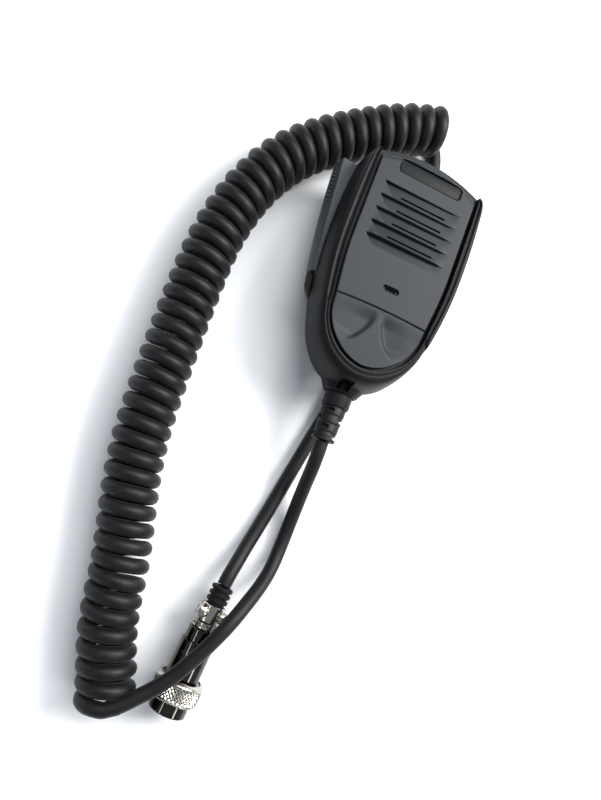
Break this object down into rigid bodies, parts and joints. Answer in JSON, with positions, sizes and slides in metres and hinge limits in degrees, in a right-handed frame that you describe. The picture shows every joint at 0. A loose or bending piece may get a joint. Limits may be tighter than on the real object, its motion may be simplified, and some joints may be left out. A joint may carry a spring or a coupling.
{
  "type": "hand microphone",
  "caption": "Palm-held radio microphone with a side talk lever, slotted face, hang-up stud at the back and a curly cord to a round screw plug.",
  "frame": {"origin": "middle of the handset, talk lever and chin socket included, on the surface that the hang-up stud's end stands on", "axes": "+Z out of the slotted face, +Y towards the handset's top, +X to the right seen from the front"},
  "size_m": [0.1058, 0.2727, 0.0352],
  "materials": {
    "case_plastic": "matte, fine moulded texture",
    "lever_plastic": "matte, ribbed on its outer edge",
    "dark_plastic": "satin",
    "rubber": "matte",
    "cord_jacket": "matte extruded jacket",
    "nickel": "bright nickel plate",
    "contact_brass": "plated",
    "phenolic": "moulded",
    "board_laminate": "solder mask",
    "cone_paper": "pressed paper and woven cloth",
    "connector_nylon": "moulded",
    "ferrite": "sintered",
    "steel": "zinc plated"
  },
  "bodies": {
    "root": {"front_shell": "case_plastic", "rear_shell": "case_plastic", "grille_panel": "case_plastic", "lower_panel": "case_plastic", "blank_name_plate": "dark_plastic", "ptt_hinge_pin": "steel", "ptt_switch_body": "dark_plastic", "circuit_board": "board_laminate", "speaker_frame": "steel", "speaker_magnet": "ferrite", "speaker_cone": "cone_paper", "speaker_gasket": "rubber", "dust_cloth": "cone_paper", "mic_capsule": "steel", "mic_rubber_boot": "rubber", "shell_screw_1": "steel", "shell_screw_2": "steel", "shell_screw_3": "steel", "shell_screw_4": "steel", "hang_stud": "nickel", "stud_screw": "steel", "strain_relief_boot": "rubber", "inner_cord_end": "cord_jacket", "cord_clamp_bar": "steel", "cord_clamp_screw_1": "steel", "cord_clamp_screw_2": "steel", "board_connector": "connector_nylon", "wire_loom": "rubber", "handset_cord": "cord_jacket", "curly_cord": "cord_jacket", "plug_cord": "cord_jacket", "plug_grommet": "rubber", "plug_clamp_base": "nickel", "plug_clamp_saddle": "nickel", "plug_clamp_screw_1": "nickel", "plug_clamp_screw_2": "nickel", "plug_collar": "nickel", "plug_rear_tube": "nickel", "plug_skirt": "nickel", "plug_insert": "phenolic", "contact_socket_1": "contact_brass", "contact_socket_2": "contact_brass", "contact_socket_3": "contact_brass", "contact_socket_4": "contact_brass", "contact_socket_5": "contact_brass", "contact_socket_6": "contact_brass"},
    "lever": {"ptt_lever": "lever_plastic", "ptt_return_spring": "steel"},
    "switch_plunger": {"ptt_switch_plunger": "phenolic"},
    "plug_ring": {"coupling_ring": "nickel"}
  },
  "joints": [
    {"name": "ptt_press", "type": "hinge", "parent": "root", "child": "lever", "pos_m": [-0.02245, -0.00425, 0.0184], "axis": [0, 0, -1], "range_deg": [0, 3], "stiffness_Nm_per_rad": 1.5, "springref_deg": -3.44},
    {"name": "switch_press", "type": "slide", "parent": "root", "child": "switch_plunger", "axis": [1, 0, 0], "range_m": [0, 0.00125]},
    {"name": "ring_turn", "type": "hinge", "parent": "root", "child": "plug_ring", "pos_m": [-0.01385, -0.17082, 0.00925], "axis": [-0.072, -0.9974, 0], "continuous": true}
  ],
  "couplings": [
    {"joint": "switch_press", "follows": "ptt_press", "m_per_rad": 0.023}
  ]
}
